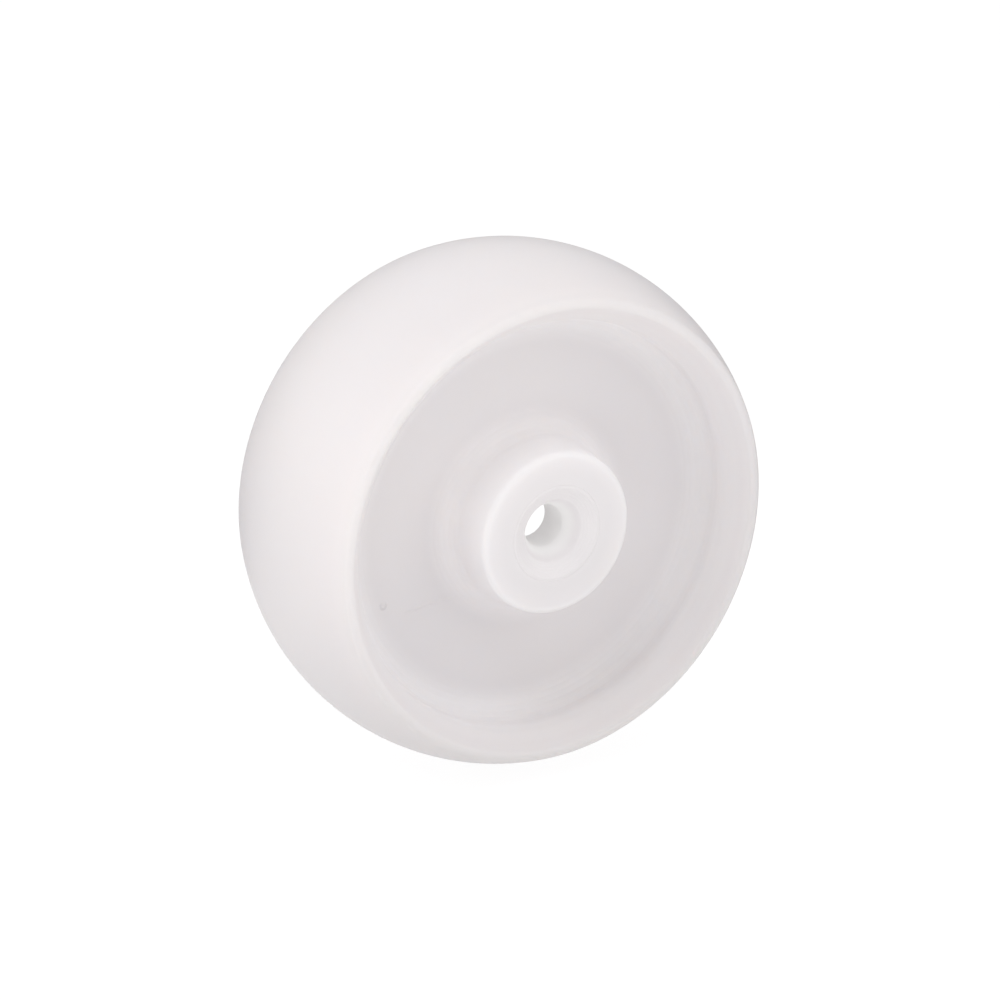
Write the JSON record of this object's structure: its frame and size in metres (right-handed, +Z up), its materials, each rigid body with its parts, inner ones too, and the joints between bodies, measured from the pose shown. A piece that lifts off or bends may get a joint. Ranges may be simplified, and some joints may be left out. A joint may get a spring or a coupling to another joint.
{
  "type": "plastic wheel",
  "caption": "White moulded nylon wheel with a crowned tread, dished sides, a web, a hub boss on one side and a plain bushed bore for an axle bolt.",
  "frame": {"origin": "centre of the wheel, on the axle line in the middle of its width", "axes": "+Y along the axle line, away from the hub; the hub faces -Y; +Z up with the wheel standing on its tread"},
  "size_m": [0.1, 0.0404, 0.1],
  "materials": {
    "natural_nylon": "satin, slightly translucent natural white polyamide as moulded",
    "bush_nylon": "satin natural white polyamide with fine turned rings around the bore"
  },
  "bodies": {
    "root": {"wheel_body": "natural_nylon", "hub_bush": "bush_nylon"}
  },
  "joints": []
}
